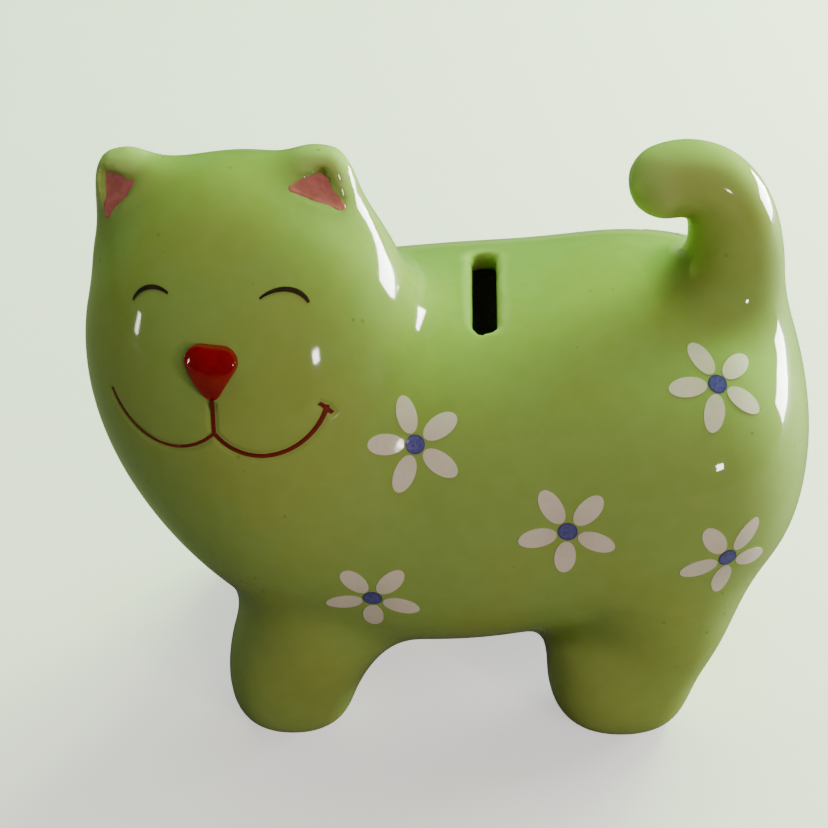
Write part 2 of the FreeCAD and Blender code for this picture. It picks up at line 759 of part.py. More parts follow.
def ceramic_shell(pockets):
    body = skin_solid(outer_form, OUTER_BOX, OUTER_NET)
    cavity = skin_solid(cavity_form, INNER_BOX, INNER_NET)
    shell = body.cut(cavity)
    corner = Vector(-GROUND_HALF, -GROUND_HALF, -GROUND_DEPTH)
    ground = Part.makeBox(2.0 * GROUND_HALF, 2.0 * GROUND_HALF, GROUND_DEPTH, corner)
    recess = Part.makeCylinder(SEAT_RADIUS, SEAT_HEIGHT, Vector(BUNG_X, 0.0, 0.0))
    hole = Part.makeCylinder(HOLE_RADIUS, HOLE_TOP, Vector(BUNG_X, 0.0, 0.0))
    for cutter in [ground, recess.fuse(hole), coin_slot()] + pockets:
        shell = shell.cut(cutter)
    return shell


def stopper():
    seat = SEAT_HEIGHT
    bottom = seat - FLANGE_THICKNESS
    plug_radius = HOLE_RADIUS - PLUG_CLEARANCE
    top = seat + PLUG_HEIGHT
    profile = [
        (0.0, bottom),
        (FLANGE_RADIUS, bottom),
        (FLANGE_RADIUS, seat),
        (plug_radius, seat),
        (plug_radius, top - PLUG_LEAD_IN_HEIGHT),
        (plug_radius - PLUG_LEAD_IN, top),
        (plug_radius - PLUG_LEAD_IN - PLUG_WALL, top),
        (plug_radius - PLUG_WALL, top - PLUG_LEAD_IN_HEIGHT),
        (plug_radius - PLUG_WALL, seat),
        (0.0, seat),
    ]
    points = [Vector(BUNG_X + r, 0.0, z) for r, z in profile]
    face = Part.Face(Part.makePolygon(points + points[:1]))
    bung = face.revolve(Vector(BUNG_X, 0.0, 0.0), Vector(0.0, 0.0, 1.0), 360.0)
    corner = Vector(BUNG_X - TAB_WIDTH / 2.0, -TAB_THICKNESS / 2.0, bottom - TAB_DROP)
    tab = Part.makeBox(TAB_WIDTH, TAB_THICKNESS, TAB_DROP + TAB_OVERLAP, corner)
    lower_edges = [e for e in tab.Edges if e.BoundBox.ZMax < bottom - TAB_DROP + TAB_OVERLAP]
    tab = tab.makeFillet(TAB_CORNER, [e for e in lower_edges if e.BoundBox.XLength < TAB_OVERLAP])
    return bung.fuse(tab).removeSplitter()


# ------------------------------------------------------------------ build and write
def write(name, shape):
    placed = shape.copy()
    placed.translate(FOOTPRINT_CENTRE * -1.0)
    placed.exportStep("parts/" + name + ".step")
    box = placed.BoundBox
    print(
        name, "valid", placed.isValid(), "solids", len(placed.Solids), "volume", round(placed.Volume, 2),
        "X", round(box.XMin, 2), round(box.XMax, 2), "Y", round(box.YMin, 2), round(box.YMax, 2),
        "Z", round(box.ZMin, 2), round(box.ZMax, 2),
    )


os.makedirs("parts", exist_ok=True)

left_pocket, left_lining = ear_pocket_and_lining(EAR_LINING_LEFT)
right_pocket, right_lining = ear_pocket_and_lining(EAR_LINING_RIGHT)
mouth_groove = mouth_band(MOUTH_CUT_ABOVE, MOUTH_CUT_ABOVE + MOUTH_GROOVE_DEPTH)
mouth_enamel = mouth_band(MOUTH_FILL_LEVEL, MOUTH_GROOVE_DEPTH + MOUTH_FILL_SUNK + MOUTH_FILL_LEVEL)
write("ear_lining_left", left_lining)
write("ear_lining_right", right_lining)
write("mouth_line", mouth_enamel)
write("nose", nose())
write("eye_line_left", eye_line(EYE_LEFT_ARC, EYE_LEFT_WINDOW))
write("eye_line_right", eye_line(EYE_RIGHT_ARC, EYE_RIGHT_WINDOW))
flowers = [(x, z, turn, -1.0) for x, z, turn in FLOWERS_NEAR]
flowers += [(x, z, turn, 1.0) for x, z, turn in FLOWERS_FAR]
for number, (x, z, turn, side) in enumerate(flowers, start=1):
    petals, centre = flower(x, z, turn, side)
    write("flower_%d_petals" % number, petals)
    write("flower_%d_centre" % number, centre)
write("stopper", stopper())
write("ceramic_shell", ceramic_shell([left_pocket, right_pocket, mouth_groove]))
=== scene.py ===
import json
import math

import bpy
import numpy as np
from mathutils import Matrix, Vector
from mathutils.bvhtree import BVHTree


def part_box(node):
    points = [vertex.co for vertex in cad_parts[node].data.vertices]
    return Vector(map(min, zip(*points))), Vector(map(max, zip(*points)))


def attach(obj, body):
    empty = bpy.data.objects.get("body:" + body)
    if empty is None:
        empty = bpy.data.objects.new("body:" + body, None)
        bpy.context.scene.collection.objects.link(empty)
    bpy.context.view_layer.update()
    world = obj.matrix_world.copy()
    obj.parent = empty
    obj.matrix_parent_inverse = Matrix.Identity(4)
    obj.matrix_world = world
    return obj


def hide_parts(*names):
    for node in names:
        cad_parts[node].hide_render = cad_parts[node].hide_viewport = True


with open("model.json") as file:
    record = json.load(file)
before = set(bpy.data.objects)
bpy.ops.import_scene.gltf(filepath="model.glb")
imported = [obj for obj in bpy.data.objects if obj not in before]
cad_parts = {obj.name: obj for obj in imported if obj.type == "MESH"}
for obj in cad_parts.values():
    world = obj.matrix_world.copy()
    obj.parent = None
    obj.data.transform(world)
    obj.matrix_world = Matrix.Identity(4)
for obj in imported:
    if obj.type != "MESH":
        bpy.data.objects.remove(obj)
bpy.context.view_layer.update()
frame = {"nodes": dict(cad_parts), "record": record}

bl_info = {
    "name": "Cat coin bank",
    "version": (1, 0, 0),
    "blender": (4, 5, 0),
    "location": "View3D > Sidebar > Cat bank",
    "description": "Dresses a slip-cast cat coin bank in glaze, enamel and fired transfers",
    "category": "Add Mesh",
}

MM = 0.001
NODES = frame["nodes"]
OPENINGS = {row["name"]: row["box_m"] for row in frame["record"]["physics"]["openings"]}
FLOWER_COUNT = sum(1 for name in NODES if name.endswith("_centre"))

# Copies of CAD meshes.
MERGE_DISTANCE = 0.001 * MM
FLAT_FLOOD_ANGLE = math.radians(35)

# How far round each detail the glaze skin gets finer faces.
MOUTH_BAND = 2.4 * MM
EAR_BAND = 3.5 * MM
SLOT_BAND = 3.0 * MM
SLOT_RIM_DEPTH = 9.0 * MM
INNER_WALL_SHARE_KEPT = 0.14
INNER_WALL_SHARE_EXPECTED = (0.1, 0.7)
SOLE_FLAT_BELOW = 0.12 * MM
TRIANGLE_LIMIT = 200000

# The skin is smoothed fully away from the ear linings, and a tenth as much close to them.
EAR_SOFT_FROM = 1.0 * MM
EAR_SOFT_TO = 5.0 * MM
LEAST_SMOOTHING = 0.1

# The mouth's engraved line: full depth within the near distance of the enamel, none past the far one.
GROOVE_NEAR = 0.30 * MM
GROOVE_FAR = 0.80 * MM

# The top of the mouth's stem is drawn up to the nose and out over the glaze.
STEM_REACH = 2.2 * MM
STEM_FULL_PULL = 0.6 * MM
STEM_PULL = (0.0, -0.5 * MM, 1.4 * MM)

# The round ledge along the lower edge of the right ear's lining.
LEDGE_RADIUS = 0.62 * MM

# How the pooling of the glaze, and the painted shade in its creases, is read off the skin's curvature.
CURVATURE_ROUNDS = 20
CURVATURE_RANGE = 0.8 * MM

# The bare ring of each sole: unglazed below the first height, glazed above the second.
SOLE_BARE = 0.05 * MM
SOLE_GLAZED = 0.30 * MM
SOLE_RAGGED = 0.35 * MM

# Swelling of the enamel over its CAD shape.
NOSE_SWELL = 0.12 * MM
LINING_SWELL = 0.18 * MM

# Flowers: how far the petals and the centre reach from the flower's middle.
PETAL_REACH = 10.0 * MM
CENTRE_REACH = 1.9 * MM

# The stopper, measured from its top down to the underside of the flange.
STOPPER_HEIGHT = 13.0 * MM
FLANGE_THICKNESS = 2.0 * MM
FLANGE_OVERHANG = 3.1 * MM
DISC_SHARE = 0.25
RING_SIDES = 96
TAB_WIDTH = 12.0 * MM
TAB_THICKNESS = 1.8 * MM
TAB_OVERLAP = 0.6 * MM
TAB_CORNER = 3.0 * MM
TAB_CORNER_STEPS = 10
TAB_EDGE = 0.35 * MM
TAB_EDGE_STEPS = 3
SHARP_ANGLE = math.radians(35)

# Colours that only shade another one.
OLIVE_CLOUD = (0.34, 0.37, 0.045, 1.0)
PETAL_WORN = (0.55, 0.52, 0.44, 1.0)
PETAL_GREENISH = (0.60, 0.64, 0.46, 1.0)
STOPPER_YELLOWED = (0.66, 0.62, 0.50, 1.0)
DEEP_NOSE_RED = (0.20, 0.0, 0.004)
DEEP_MOUTH_RED = (0.10, 0.004, 0.004)
DEEP_EAR_PINK = (0.36, 0.10, 0.09)
BROWN_STROKE = (0.045, 0.03, 0.012)

# Stage. The floor is pale to the camera, and darker to the light that the glaze reflects.
FLOOR_SIDE = 8.0
FLOOR_GLOW = 0.75
FLOOR_PALE = ((0.92, 0.92, 0.92, 1.0), (0.95, 0.95, 0.95, 1.0))
FLOOR_TO_OTHER_RAYS = (0.17, 0.16, 0.14, 1.0)
BLACK = (0.0, 0.0, 0.0, 1.0)
WHITE = (1.0, 1.0, 1.0, 1.0)
AIR_STRENGTH = 0.06

# Lamps: name, direction, distance, width, height, power, colour, and whether the glaze mirrors it.
LAMPS = (
    ("back_softbox", (0.60, 0.72, 0.66), 0.9, 0.42, 0.42, 15.5, (0.56, 1.0, 0.30), False),
    ("top_softbox", (-0.10, 0.35, 1.0), 0.9, 0.8, 0.8, 6.0, (0.78, 1.0, 0.62), False),
    ("window", (0.87, 0.49, 0.01), 0.6, 0.34, 0.118, 9.0, (1.0, 1.0, 1.0), True),
    ("warm_fill", (0.50, -0.90, 0.50), 1.0, 0.6, 0.5, 3.8, (1.0, 0.68, 0.56), False),
    ("small_lamp_right", (0.65, -0.73, 0.21), 0.9, 0.07, 0.07, 1.3, (1.0, 0.95, 0.88), True),
    ("small_lamp_left", (-0.97, -0.24, 0.05), 0.9, 0.04, 0.12, 0.5, (1.0, 0.95, 0.9), True),
)

CAMERA_TARGET = Vector((-8.75, 1.775, 59.5)) * MM
CAMERA_DISTANCE = 450.0 * MM
CAMERA_AZIMUTH = math.radians(2.0)
CAMERA_ELEVATION = math.radians(35.6)
CAMERA_ROLL = math.radians(-1.5)
CAMERA_LENS = 93.9

# Places of a Mix node's inputs: factor, then the two values of its kind.
MIX_COLOUR_INPUTS = (0, 6, 7)
MIX_COLOUR_OUTPUT = 2
MIX_VALUE_INPUTS = (0, 2, 3)


class CatBankSettings(bpy.types.PropertyGroup):
    skin_cell: bpy.props.FloatProperty(
        name="Skin cell", description="Edge length of the faces of the glaze skin",
        default=1.0 * MM, unit="LENGTH")
    groove_depth: bpy.props.FloatProperty(
        name="Mouth groove", description="Depth of the engraved mouth line",
        default=0.34 * MM, unit="LENGTH")
    nose_cell: bpy.props.FloatProperty(
        name="Nose cell", description="Edge length of the faces of the nose",
        default=0.2 * MM, unit="LENGTH")
    enamel_cell: bpy.props.FloatProperty(
        name="Enamel cell",
        description="Edge length of the faces of the mouth enamel and the ear linings",
        default=0.13 * MM, unit="LENGTH")
    glaze: bpy.props.FloatVectorProperty(
        name="Glaze", description="Apple green of the glaze where it lies evenly",
        default=(0.275, 0.43, 0.100), subtype="COLOR", size=3)
    glaze_thin: bpy.props.FloatVectorProperty(
        name="Thin glaze", description="Paler green where the glaze breaks over an edge",
        default=(0.41, 0.57, 0.17), subtype="COLOR", size=3)
    # Deep green laid in the hollows: partly pooled glaze, partly painted shade in the creases. The
    # specks use it too.
    glaze_pooled_and_shaded: bpy.props.FloatVectorProperty(
        name="Pooled glaze", description="Deeper green where the glaze gathers in a hollow",
        default=(0.12, 0.21, 0.026), subtype="COLOR", size=3)
    bare_clay: bpy.props.FloatVectorProperty(
        name="Bare clay", description="Unglazed body inside and under the feet",
        default=(0.62, 0.56, 0.47), subtype="COLOR", size=3)
    nose_red: bpy.props.FloatVectorProperty(
        name="Nose red", description="Red enamel of the nose",
        default=(0.30, 0.002, 0.006), subtype="COLOR", size=3)
    mouth_red: bpy.props.FloatVectorProperty(
        name="Mouth red", description="Dark red enamel of the mouth line",
        default=(0.17, 0.002, 0.003), subtype="COLOR", size=3)
    ear_pink: bpy.props.FloatVectorProperty(
        name="Ear pink", description="Dusty pink of the ear linings",
        default=(0.52, 0.17, 0.17), subtype="COLOR", size=3)
    petal_white: bpy.props.FloatVectorProperty(
        name="Petal white", description="White of the fired petals",
        default=(0.80, 0.76, 0.70), subtype="COLOR", size=3)
    centre_blue: bpy.props.FloatVectorProperty(
        name="Centre blue", description="Blue violet of the flower centres",
        default=(0.075, 0.075, 0.30), subtype="COLOR", size=3)
    eye_black: bpy.props.FloatVectorProperty(
        name="Eye black", description="Brown black of the eye strokes",
        default=(0.02, 0.017, 0.01), subtype="COLOR", size=3)
    stopper_white: bpy.props.FloatVectorProperty(
        name="Stopper white", description="Milky white of the soft stopper",
        default=(0.72, 0.72, 0.68), subtype="COLOR", size=3)


def settings():
    return bpy.context.scene.cat_bank


# ------------------------------------------------------------------ modelling helpers
def select_only(piece):
    bpy.ops.object.select_all(action="DESELECT")
    piece.select_set(True)
    bpy.context.view_layer.objects.active = piece


def start_editing(piece):
    select_only(piece)
    bpy.ops.object.mode_set(mode="EDIT")
    bpy.ops.mesh.select_mode(type="FACE")


def stop_editing():
    bpy.ops.object.mode_set(mode="OBJECT")


def merged_copy(node, name):
    """A new object with a copy of a CAD node's mesh, its doubled points merged."""
    piece = bpy.data.objects.new(name, NODES[node].data.copy())
    bpy.context.scene.collection.objects.link(piece)
    piece.data.materials.clear()
    select_only(piece)
    bpy.ops.mesh.customdata_custom_splitnormals_clear()
    start_editing(piece)
    bpy.ops.mesh.select_all(action="SELECT")
    bpy.ops.mesh.remove_doubles(threshold=MERGE_DISTANCE)
    stop_editing()
    return piece


def apply_modifier(piece, kind, **values):
    select_only(piece)
    modifier = piece.modifiers.new(kind.lower(), kind)
    for key, value in values.items():
        setattr(modifier, key, value)
    bpy.ops.object.modifier_apply(modifier=modifier.name)


def point_table(piece):
    table = np.empty(len(piece.data.vertices) * 3)
    piece.data.vertices.foreach_get("co", table)
    return table.reshape(-1, 3)


def face_table(piece):
    table = np.empty(len(piece.data.polygons) * 3)
    piece.data.polygons.foreach_get("center", table)
    return table.reshape(-1, 3)


def choose_faces(piece, chosen):
    """Select just these faces, ready for edit mode."""
    mesh = piece.data
    mesh.vertices.foreach_set("select", np.zeros(len(mesh.vertices), bool))
    mesh.edges.foreach_set("select", np.zeros(len(mesh.edges), bool))
    mesh.polygons.foreach_set("select", chosen)
    mesh.update()


def chosen_faces(piece):
    chosen = np.empty(len(piece.data.polygons), bool)
    piece.data.polygons.foreach_get("select", chosen)
    return chosen


def tree_of(piece):
    mesh = piece.data
    points = [vertex.co for vertex in mesh.vertices]
    return BVHTree.FromPolygons(points, [tuple(face.vertices) for face in mesh.polygons])


def distance_to(tree, points, reach):
    """Distance from each point to the tree's surface, cut off at reach."""
    distances = np.full(len(points), reach)
    for n, point in enumerate(points):
        found = tree.find_nearest(point, reach)
        if found[3] is not None:
            distances[n] = found[3]
    return distances


def near_box(points, low, high, margin):
    inside = np.ones(len(points), bool)
    for axis in range(3):
        inside &= (points[:, axis] > low[axis] - margin) & (points[:, axis] < high[axis] + margin)
    return inside


def near_node(points, node, margin):
    """Distances to a CAD node for the points near its box, and margin for all others."""
    low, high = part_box(node)
    distances = np.full(len(points), margin)
    close = near_box(points, low, high, margin)
    distances[close] = distance_to(tree_of(NODES[node]), points[close], margin)
    return distances


def near_ears(points, margin):
    """The same for the nearer of the two ear linings."""
    return np.minimum(near_node(points, "ear_lining_left", margin),
                      near_node(points, "ear_lining_right", margin))


def ease(values, start, stop):
    """0 at start, 1 at stop, smooth between."""
    t = np.clip((values - start) / (stop - start), 0.0, 1.0)
    return t * t * (3.0 - 2.0 * t)


def weigh(piece, name, weights):
    """A vertex group with a weight for each point."""
    group = piece.vertex_groups.new(name=name)
    for n in np.nonzero(weights > 0.001)[0]:
        group.add([int(n)], float(weights[n]), "REPLACE")
    return group.name


def keep_values(piece, name, values):
    """Store one number for each point as a named attribute."""
    attribute = piece.data.attributes.new(name, "FLOAT", "POINT")
    attribute.data.foreach_set("value", values.astype(np.float32))


def subdivide_near(piece, chosen, cuts):
    choose_faces(piece, chosen)
    start_editing(piece)
    bpy.ops.mesh.subdivide(number_cuts=cuts)
    stop_editing()


def triangles(piece):
    piece.data.calc_loop_triangles()
    return len(piece.data.loop_triangles)


def finish_piece(piece, body, material, slot, *nodes):
    """Give a piece its finish, attach it to its body and hide the CAD nodes it stands for."""
    piece.data.materials.clear()
    piece.data.materials.append(material)
    piece.vertex_groups.clear()
    select_only(piece)
    bpy.ops.object.shade_smooth()
    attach(piece, body)
    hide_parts(*nodes)


# ------------------------------------------------------------------ material helpers
def add(tree, kind, options=None, **inputs):
    """A node with its options set and its inputs set or linked."""
    node = tree.nodes.new(kind)
    for key, value in (options or {}).items():
        setattr(node, key, value)
    for key, value in inputs.items():
        join(tree, value, node.inputs[key.replace("_", " ")])
    return node


def join(tree, value, socket):
    if isinstance(value, bpy.types.NodeSocket):
        tree.links.new(value, socket)
    else:
        socket.default_value = value


def mix_colour(tree, factor, a, b):
    node = add(tree, "ShaderNodeMix", {"data_type": "RGBA"})
    for value, index in zip((factor, a, b), MIX_COLOUR_INPUTS):
        join(tree, value, node.inputs[index])
    return node.outputs[MIX_COLOUR_OUTPUT]


def mix_value(tree, factor, a, b):
    node = add(tree, "ShaderNodeMix", {"data_type": "FLOAT"})
    for value, index in zip((factor, a, b), MIX_VALUE_INPUTS):
        join(tree, value, node.inputs[index])
    return node.outputs[0]


def maths(tree, operation, *values):
    node = add(tree, "ShaderNodeMath", {"operation": operation})
    for index, value in enumerate(values):
        join(tree, value, node.inputs[index])
    return node.outputs[0]


def remap(tree, value, start, stop, low=0.0, high=1.0):
    node = add(tree, "ShaderNodeMapRange", {"interpolation_type": "SMOOTHSTEP"}, Value=value)
    for index, number in enumerate((start, stop, low, high), start=1):
        node.inputs[index].default_value = number
    return node.outputs[0]


def noise(tree, vector, scale, detail=2.0, roughness=0.5):
    node = add(tree, "ShaderNodeTexNoise", None,
               Vector=vector, Scale=scale, Detail=detail, Roughness=roughness)
    return node.outputs[0]


def new_group(name, inputs, outputs):
    """A shader node group with named inputs, (name, default), and float outputs."""
    tree = bpy.data.node_groups.new(name, "ShaderNodeTree")
    tree.interface.new_socket("Vector", in_out="INPUT", socket_type="NodeSocketVector")
    for label, value in inputs:
        socket = tree.interface.new_socket(label, in_out="INPUT", socket_type="NodeSocketFloat")
        socket.default_value = value
    for label in outputs:
        tree.interface.new_socket(label, in_out="OUTPUT", socket_type="NodeSocketFloat")
    return tree, tree.nodes.new("NodeGroupInput"), tree.nodes.new("NodeGroupOutput")


def kiln_mottle_group():
    """Cloudy unevenness of a fired colour."""
    tree, given, result = new_group("kiln mottle", [("Scale", 20.0)], ["Mottle"])
    broad = noise(tree, given.outputs["Vector"], given.outputs["Scale"], 3.0, 0.55)
    join(tree, remap(tree, broad, 0.34, 0.66), result.inputs["Mottle"])
    return tree


def ripple_group():
    """Slow waves that a glaze freezes with."""
    tree, given, result = new_group("glaze ripple", [("Scale", 90.0)], ["Height"])
    slow = noise(tree, given.outputs["Vector"], given.outputs["Scale"], 1.0, 0.4)
    join(tree, slow, result.inputs["Height"])
    return tree


def speck_group():
    """Small dark specks and pinholes left by the firing."""
    tree, given, result = new_group("fired specks", [("Scale", 300.0), ("Size", 0.12)], ["Speck"])
    cells = add(tree, "ShaderNodeTexVoronoi", None,
                Vector=given.outputs["Vector"], Scale=given.outputs["Scale"])
    dot = maths(tree, "LESS_THAN", cells.outputs["Distance"], given.outputs["Size"])
    rare = maths(tree, "GREATER_THAN", noise(tree, given.outputs["Vector"], 70.0, 0.0), 0.62)
    join(tree, maths(tree, "MULTIPLY", dot, rare), result.inputs["Speck"])
    return tree


def use_group(tree, name, vector, **values):
    node = add(tree, "ShaderNodeGroup", {"node_tree": bpy.data.node_groups[name]}, Vector=vector)
    for key, value in values.items():
        node.inputs[key].default_value = value
    return node.outputs[0]


def new_finish(name, **constants):
    """A material with a Principled shader, and the object coordinates in it."""
    material = bpy.data.materials.new(name)
    material.use_nodes = True
    tree = material.node_tree
    tree.nodes.clear()
    shader = add(tree, "ShaderNodeBsdfPrincipled", None, **constants)
    output = tree.nodes.new("ShaderNodeOutputMaterial")
    tree.links.new(shader.outputs[0], output.inputs["Surface"])
    place = tree.nodes.new("ShaderNodeTexCoord").outputs["Object"]
    return material, tree, shader, place


def raise_bump(tree, shader, height, distance):
    bump = add(tree, "ShaderNodeBump", None, Height=height, Distance=distance, Strength=1.0)
    join(tree, bump.outputs["Normal"], shader.inputs["Normal"])


def rgba(colour, gain=1.0):
    return (colour[0] * gain, colour[1] * gain, colour[2] * gain, 1.0)


# ------------------------------------------------------------------ finishes
def glaze_finish():
    bank = settings()
    material, tree, shader, place = new_finish("apple green glaze", Specular_IOR_Level=0.42, IOR=1.5)
    # Curvature of the skin: paler where the glaze breaks over ridges, darker in hollows as pooled glaze
    # and painted crease shade.
    pool_and_shade = add(tree, "ShaderNodeAttribute", {"attribute_name": "glaze_pool_and_crease_shade"}).outputs["Fac"]
    inner = add(tree, "ShaderNodeAttribute", {"attribute_name": "inner_wall"}).outputs["Fac"]
    clouds = use_group(tree, "kiln mottle", place, Scale=22.0)
    fine = use_group(tree, "kiln mottle", place, Scale=240.0)
    warm = mix_colour(tree, remap(tree, clouds, 0.2, 0.9, 0.0, 0.30), rgba(bank.glaze), OLIVE_CLOUD)
    even = mix_colour(tree, remap(tree, fine, 0.0, 1.0, 0.0, 0.10), warm, rgba(bank.glaze_thin))
    thin = mix_colour(tree, remap(tree, pool_and_shade, 0.70, 1.0, 0.0, 0.8), even, rgba(bank.glaze_thin))
    # Darker green in the hollows: partly glaze pooling, partly painted shade in the creases.
    pooled_and_shaded = mix_colour(tree, remap(tree, pool_and_shade, 0.50, 0.10, 0.0, 1.0), thin, rgba(bank.glaze_pooled_and_shaded))
    speck = use_group(tree, "fired specks", place, Scale=260.0, Size=0.10)
    specked = mix_colour(tree, maths(tree, "MULTIPLY", speck, 0.5), pooled_and_shaded, rgba(bank.glaze_pooled_and_shaded))
    height = add(tree, "ShaderNodeSeparateXYZ", None, Vector=place).outputs["Z"]
    uneven = maths(tree, "MULTIPLY", noise(tree, place, 900.0), -SOLE_RAGGED)
    ragged = maths(tree, "ADD", height, uneven)
    sole = remap(tree, ragged, SOLE_GLAZED, SOLE_BARE)
    bare = maths(tree, "MAXIMUM", sole, remap(tree, inner, 0.45, 0.55))
    clay_grain = use_group(tree, "kiln mottle", place, Scale=1500.0)
    dark_grain = remap(tree, clay_grain, 0.0, 1.0, 0.0, 0.35)
    clay = mix_colour(tree, dark_grain, rgba(bank.bare_clay), rgba(bank.bare_clay, 0.6))
    join(tree, mix_colour(tree, bare, specked, clay), shader.inputs["Base Color"])
    gloss = remap(tree, clouds, 0.0, 1.0, 0.045, 0.085)
    glazed = maths(tree, "ADD", gloss, maths(tree, "MULTIPLY", speck, 0.2))
    rough = mix_value(tree, bare, glazed, 0.8)
    join(tree, rough, shader.inputs["Roughness"])
    ripple = use_group(tree, "glaze ripple", place, Scale=95.0)
    grain = maths(tree, "MULTIPLY", clay_grain, bare)
    height = maths(tree, "ADD", ripple, maths(tree, "MULTIPLY", grain, 0.6))
    raise_bump(tree, shader, height, 0.07 * MM)
    return material


def enamel_finish(name, colour, deep, gloss, ripple):
    """A glossy fired colour with clouds of a deeper one."""
    material, tree, shader, place = new_finish(name, Specular_IOR_Level=0.55, IOR=1.5)
    clouds = use_group(tree, "kiln mottle", place, Scale=330.0)
    specks = use_group(tree, "fired specks", place, Scale=1400.0, Size=0.16)
    tone = mix_colour(tree, remap(tree, clouds, 0.1, 0.9, 0.0, 0.55), rgba(colour), rgba(deep))
    tone = mix_colour(tree, maths(tree, "MULTIPLY", specks, 0.6), tone, rgba(deep, 0.6))
    join(tree, tone, shader.inputs["Base Color"])
    join(tree, remap(tree, clouds, 0.0, 1.0, gloss, gloss + 0.06), shader.inputs["Roughness"])
    raise_bump(tree, shader, use_group(tree, "glaze ripple", place, Scale=420.0), ripple * MM)
    return material


def radial(tree, place, centre, reach):
    """0 at a flower's middle and 1 at reach from it."""
    mapping = add(tree, "ShaderNodeMapping", {"vector_type": "POINT"}, Vector=place)
    mapping.inputs["Location"].default_value = [-value / reach for value in centre]
    mapping.inputs["Scale"].default_value = (1.0 / reach,) * 3
    length = add(tree, "ShaderNodeVectorMath", {"operation": "LENGTH"}, Vector=mapping.outputs[0])
    return length.outputs["Value"]


def petal_finish(number, centre):
    """White print, a little thinner towards the flower's middle, with faint streaks."""
    bank = settings()
    name = "petal white %d" % number
    material, tree, shader, place = new_finish(name, Specular_IOR_Level=0.5, IOR=1.5)
    out = radial(tree, place, centre, PETAL_REACH)
    streaks = use_group(tree, "kiln mottle", place, Scale=700.0)
    thin = mix_colour(tree, remap(tree, out, 0.75, 0.15, 0.0, 0.35), rgba(bank.petal_white), PETAL_WORN)
    tone = mix_colour(tree, remap(tree, streaks, 0.2, 1.0, 0.0, 0.16), thin, PETAL_GREENISH)
    join(tree, tone, shader.inputs["Base Color"])
    join(tree, remap(tree, streaks, 0.0, 1.0, 0.10, 0.17), shader.inputs["Roughness"])
    raise_bump(tree, shader, use_group(tree, "glaze ripple", place, Scale=160.0), 0.05 * MM)
    return material


def centre_finish(number, centre):
    """Blue violet print with a darker rim and uneven ink."""
    bank = settings()
    name = "centre blue %d" % number
    material, tree, shader, place = new_finish(name, Specular_IOR_Level=0.5, IOR=1.5)
    out = radial(tree, place, centre, CENTRE_REACH)
    ink = use_group(tree, "kiln mottle", place, Scale=1600.0)
    blue = bank.centre_blue
    tone = mix_colour(tree, remap(tree, ink, 0.1, 0.9, 0.0, 0.5), rgba(blue), rgba(blue, 1.7))
    tone = mix_colour(tree, remap(tree, out, 0.72, 1.0, 0.0, 0.6), tone, rgba(blue, 0.45))
    join(tree, tone, shader.inputs["Base Color"])
    join(tree, remap(tree, ink, 0.0, 1.0, 0.09, 0.18), shader.inputs["Roughness"])
    raise_bump(tree, shader, use_group(tree, "glaze ripple", place, Scale=300.0), 0.04 * MM)
    return material


def stopper_finish():
    """Milky soft plastic with a fine moulded grain."""
    bank = settings()
    material, tree, shader, place = new_finish(
        "milky soft plastic", Specular_IOR_Level=0.4, IOR=1.46,
        Subsurface_Weight=0.25, Subsurface_Scale=2.0 * MM)
    flow = use_group(tree, "kiln mottle", place, Scale=90.0)
    grain = noise(tree, place, 2600.0, 1.0)
    yellowed = remap(tree, flow, 0.0, 1.0, 0.0, 0.25)
    tone = mix_colour(tree, yellowed, rgba(bank.stopper_white), STOPPER_YELLOWED)
    join(tree, tone, shader.inputs["Base Color"])
    join(tree, remap(tree, grain, 0.3, 0.7, 0.38, 0.52), shader.inputs["Roughness"])
    raise_bump(tree, shader, grain, 0.03 * MM)
    return material


# ------------------------------------------------------------------ pieces
def inner_wall_tree(cast):
    """A search tree over the raw casting, and which of its faces belong to the inner wall."""
    tree = tree_of(cast)
    low, high = OPENINGS["money_cavity"]
    middle = (Vector(low) + Vector(high)) / 2.0
    seed = tree.ray_cast(middle, Vector((0.0, 1.0, 0.0)))[2]
    chosen = np.zeros(len(cast.data.polygons), bool)
    chosen[seed] = True
    choose_faces(cast, chosen)
    start_editing(cast)
    bpy.ops.mesh.faces_select_linked_flat(sharpness=FLAT_FLOOD_ANGLE)
    stop_editing()
    inner = chosen_faces(cast)
    least, most = INNER_WALL_SHARE_EXPECTED
    if not least < inner.mean() < most:
        raise RuntimeError("the flood over the inner wall took in %.2f of the faces" % inner.mean())
    return tree, inner


def is_inner(tree, inner, points):
    return np.array([inner[tree.find_nearest(point)[2]] for point in points])


def pooling_and_crease_shade(piece):
    """Curvature of the skin as 0 in hollows, 0.5 on flat ground and 1 on ridges. Its hollow end darkens
    the glaze both as pooled glaze and as painted shade in the creases.
    """
    mesh = piece.data
    start = point_table(piece)
    ends = np.empty(len(mesh.edges) * 2, int)
    mesh.edges.foreach_get("vertices", ends)
    a, b = ends.reshape(-1, 2).T
    count = np.bincount(a, minlength=len(start)) + np.bincount(b, minlength=len(start))
    spread = start.copy()
    for _ in range(CURVATURE_ROUNDS):
        total = np.zeros_like(spread)
        for axis in range(3):
            total[:, axis] += np.bincount(a, spread[b, axis], len(start))
            total[:, axis] += np.bincount(b, spread[a, axis], len(start))
        spread = total / count[:, None]
    normal = np.empty(len(start) * 3)
    mesh.vertex_normals.foreach_get("vector", normal)
    rise = ((start - spread) * normal.reshape(-1, 3)).sum(1)
    return np.clip(0.5 + rise / (2.0 * CURVATURE_RANGE), 0.0, 1.0)


